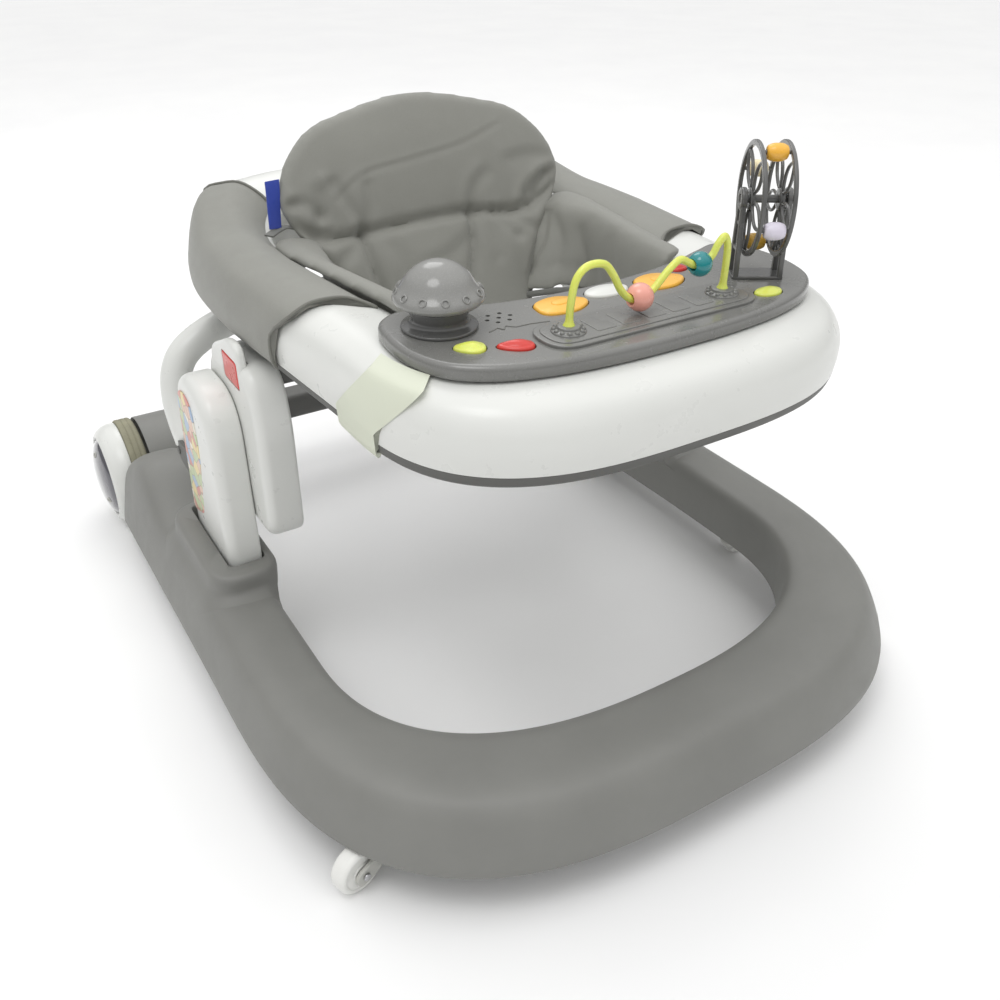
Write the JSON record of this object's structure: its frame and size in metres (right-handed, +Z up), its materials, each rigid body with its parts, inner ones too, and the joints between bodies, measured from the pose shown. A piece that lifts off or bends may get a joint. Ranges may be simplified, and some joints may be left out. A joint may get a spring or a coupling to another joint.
{
  "type": "baby walker",
  "caption": "Baby walker: U-shaped wheeled base, two side posts with height slides, padded seat ring, toy tray and folding push bar.",
  "frame": {"origin": "middle of the footprint, on the floor under the wheels", "axes": "+Z up, -Y towards the toy tray and front rim, +X to the right of someone looking at the tray"},
  "size_m": [0.6414, 0.779, 0.4907],
  "materials": {
    "base_grey": "moulded grey, satin",
    "dark_trim": "dark grey, matt",
    "axle_steel": "plain steel",
    "white_plastic": "white, glossy",
    "red_plastic": "red, satin",
    "tyre_rubber": "grey-brown, matt",
    "lens_plastic": "dark smoked, glossy",
    "caster_white": "white",
    "caster_grey": "light grey",
    "seat_fabric": "grey coated cloth with seams",
    "cream_plastic": "cream, matt",
    "tray_grey": "grey, glossy with a fine fleck",
    "dark_toy": "dark grey, glossy",
    "lime_plastic": "pale lime",
    "orange_plastic": "orange yellow",
    "pink_plastic": "pink",
    "teal_plastic": "teal",
    "pale_plastic": "cream",
    "lilac_plastic": "pale lilac",
    "ochre_plastic": "ochre"
  },
  "bodies": {
    "base": {"base_frame": "base_grey", "rear_beam": "dark_trim", "axle_housing_left": "base_grey", "axle_housing_right": "base_grey", "rear_axle_left": "axle_steel", "rear_axle_right": "axle_steel", "post_left": "white_plastic", "post_right": "white_plastic", "handle_hinge_left": "dark_trim", "handle_hinge_right": "dark_trim"},
    "seat_ring": {"slider_left": "white_plastic", "slider_right": "white_plastic", "ring_bracket_left": "dark_trim", "ring_bracket_right": "dark_trim", "ring_shell": "white_plastic", "ring_trim": "dark_trim", "ring_cover_left": "seat_fabric", "ring_cover_right": "seat_fabric", "ring_collar": "cream_plastic", "battery_box": "dark_trim", "toy_tray": "tray_grey", "bead_wire": "lime_plastic", "dome_cup": "dark_toy", "ferris_stand": "dark_toy", "seat_back": "seat_fabric", "seat_pan": "seat_fabric", "side_wing_left": "seat_fabric", "side_wing_right": "seat_fabric"},
    "handle": {"push_handle": "white_plastic"},
    "rear_wheel_left": {"rear_tyre_left": "tyre_rubber", "rear_wheel_cap_left": "white_plastic", "rear_wheel_lens_left": "lens_plastic"},
    "rear_wheel_right": {"rear_tyre_right": "tyre_rubber", "rear_wheel_cap_right": "white_plastic", "rear_wheel_lens_right": "lens_plastic"},
    "caster_front_left": {"caster_fork_front_left": "caster_grey"},
    "caster_roller_front_left": {"caster_wheel_front_left": "caster_white"},
    "caster_front_right": {"caster_fork_front_right": "caster_grey"},
    "caster_roller_front_right": {"caster_wheel_front_right": "caster_white"},
    "caster_mid_left": {"caster_fork_mid_left": "caster_grey"},
    "caster_roller_mid_left": {"caster_wheel_mid_left": "caster_white"},
    "caster_mid_right": {"caster_fork_mid_right": "caster_grey"},
    "caster_roller_mid_right": {"caster_wheel_mid_right": "caster_white"},
    "release_left": {"release_button_left": "red_plastic"},
    "release_right": {"release_button_right": "red_plastic"},
    "key_lime_left": {"button_lime_left": "lime_plastic"},
    "key_red": {"button_red": "red_plastic"},
    "key_orange_left": {"button_orange_left": "orange_plastic"},
    "key_white": {"button_white": "white_plastic"},
    "key_orange_right": {"button_orange_right": "orange_plastic"},
    "key_small_red": {"button_small_red": "red_plastic"},
    "key_lime_right": {"button_lime_right": "lime_plastic"},
    "dome": {"dome_toy": "tray_grey"},
    "ferris": {"ferris_rotor": "dark_toy"},
    "ferris_cup_pale": {"ferris_bead_pale": "pale_plastic"},
    "ferris_cup_yellow": {"ferris_bead_yellow": "orange_plastic"},
    "ferris_cup_lilac": {"ferris_bead_lilac": "lilac_plastic"},
    "ferris_cup_ochre": {"ferris_bead_ochre": "ochre_plastic"},
    "wire_toy_pink": {"wire_bead_pink": "pink_plastic"},
    "wire_toy_teal": {"wire_bead_teal": "teal_plastic"}
  },
  "joints": [
    {"name": "height_slide", "type": "slide", "parent": "base", "child": "seat_ring", "axis": [0, 0, 1], "range_m": [-0.015, 0.045]},
    {"name": "handle_fold", "type": "hinge", "parent": "base", "child": "handle", "pos_m": [0, 0.1355, 0.176], "axis": [1, 0, 0], "range_deg": [-60, 0]},
    {"name": "rear_wheel_left_spin", "type": "hinge", "parent": "base", "child": "rear_wheel_left", "pos_m": [-0.29, 0.3285, 0.061], "axis": [1, 0, 0], "continuous": true},
    {"name": "rear_wheel_right_spin", "type": "hinge", "parent": "base", "child": "rear_wheel_right", "pos_m": [0.29, 0.3285, 0.061], "axis": [1, 0, 0], "continuous": true},
    {"name": "caster_front_left_swivel", "type": "hinge", "parent": "base", "child": "caster_front_left", "pos_m": [-0.252, -0.2745, 0.03], "axis": [0, 0, 1], "continuous": true},
    {"name": "caster_front_left_roll", "type": "hinge", "parent": "caster_front_left", "child": "caster_roller_front_left", "pos_m": [-0.27615, -0.28097, 0.02], "axis": [0.2588, -0.9659, 0], "continuous": true},
    {"name": "caster_front_right_swivel", "type": "hinge", "parent": "base", "child": "caster_front_right", "pos_m": [0.252, -0.2745, 0.03], "axis": [0, 0, 1], "continuous": true},
    {"name": "caster_front_right_roll", "type": "hinge", "parent": "caster_front_right", "child": "caster_roller_front_right", "pos_m": [0.27615, -0.28097, 0.02], "axis": [0.2588, 0.9659, 0], "continuous": true},
    {"name": "caster_mid_left_swivel", "type": "hinge", "parent": "base", "child": "caster_mid_left", "pos_m": [-0.272, -0.1245, 0.03], "axis": [0, 0, 1], "continuous": true},
    {"name": "caster_mid_left_roll", "type": "hinge", "parent": "caster_mid_left", "child": "caster_roller_mid_left", "pos_m": [-0.27634, -0.09988, 0.02], "axis": [-0.9848, -0.1736, 0], "continuous": true},
    {"name": "caster_mid_right_swivel", "type": "hinge", "parent": "base", "child": "caster_mid_right", "pos_m": [0.272, -0.1245, 0.03], "axis": [0, 0, 1], "continuous": true},
    {"name": "caster_mid_right_roll", "type": "hinge", "parent": "caster_mid_right", "child": "caster_roller_mid_right", "pos_m": [0.27634, -0.09988, 0.02], "axis": [-0.9848, 0.1736, 0], "continuous": true},
    {"name": "release_left_press", "type": "slide", "parent": "seat_ring", "child": "release_left", "axis": [1, 0, 0], "range_m": [0, 0.003], "stiffness_N_per_m": 600, "springref_m": -0.0005},
    {"name": "release_right_press", "type": "slide", "parent": "seat_ring", "child": "release_right", "axis": [-1, 0, 0], "range_m": [0, 0.003], "stiffness_N_per_m": 600, "springref_m": -0.0005},
    {"name": "lime_left_press", "type": "slide", "parent": "seat_ring", "child": "key_lime_left", "axis": [0, 0, -1], "range_m": [0, 0.0025], "stiffness_N_per_m": 400, "springref_m": -0.001},
    {"name": "red_press", "type": "slide", "parent": "seat_ring", "child": "key_red", "axis": [0, 0, -1], "range_m": [0, 0.0025], "stiffness_N_per_m": 400, "springref_m": -0.001},
    {"name": "orange_left_press", "type": "slide", "parent": "seat_ring", "child": "key_orange_left", "axis": [0, 0, -1], "range_m": [0, 0.0025], "stiffness_N_per_m": 400, "springref_m": -0.001},
    {"name": "white_press", "type": "slide", "parent": "seat_ring", "child": "key_white", "axis": [0, 0, -1], "range_m": [0, 0.0025], "stiffness_N_per_m": 400, "springref_m": -0.001},
    {"name": "orange_right_press", "type": "slide", "parent": "seat_ring", "child": "key_orange_right", "axis": [0, 0, -1], "range_m": [0, 0.0025], "stiffness_N_per_m": 400, "springref_m": -0.001},
    {"name": "small_red_press", "type": "slide", "parent": "seat_ring", "child": "key_small_red", "axis": [0, 0, -1], "range_m": [0, 0.0025], "stiffness_N_per_m": 400, "springref_m": -0.001},
    {"name": "lime_right_press", "type": "slide", "parent": "seat_ring", "child": "key_lime_right", "axis": [0, 0, -1], "range_m": [0, 0.0025], "stiffness_N_per_m": 400, "springref_m": -0.001},
    {"name": "dome_spin", "type": "hinge", "parent": "seat_ring", "child": "dome", "pos_m": [-0.136, -0.1795, 0.412], "axis": [0, 0, 1], "continuous": true},
    {"name": "ferris_spin", "type": "hinge", "parent": "seat_ring", "child": "ferris", "pos_m": [0.124, -0.2165, 0.448], "axis": [0.848, -0.5299, 0], "continuous": true},
    {"name": "ferris_bead_pale_spin", "type": "hinge", "parent": "ferris", "child": "ferris_cup_pale", "pos_m": [0.14342, -0.18542, 0.46134], "axis": [0.848, -0.5299, 0], "continuous": true},
    {"name": "ferris_bead_yellow_spin", "type": "hinge", "parent": "ferris", "child": "ferris_cup_yellow", "pos_m": [0.11693, -0.22781, 0.48465], "axis": [0.848, -0.5299, 0], "continuous": true},
    {"name": "ferris_bead_lilac_spin", "type": "hinge", "parent": "ferris", "child": "ferris_cup_lilac", "pos_m": [0.10458, -0.24758, 0.43466], "axis": [0.848, -0.5299, 0], "continuous": true},
    {"name": "ferris_bead_ochre_spin", "type": "hinge", "parent": "ferris", "child": "ferris_cup_ochre", "pos_m": [0.13107, -0.20519, 0.41135], "axis": [0.848, -0.5299, 0], "continuous": true},
    {"name": "wire_bead_pink_spin", "type": "hinge", "parent": "seat_ring", "child": "wire_toy_pink", "pos_m": [-0.009, -0.2385, 0.4042], "axis": [0.9994, 0, 0.0349], "continuous": true},
    {"name": "wire_bead_teal_spin", "type": "hinge", "parent": "seat_ring", "child": "wire_toy_teal", "pos_m": [0.044, -0.2385, 0.4184], "axis": [1, 0, 0], "continuous": true}
  ]
}
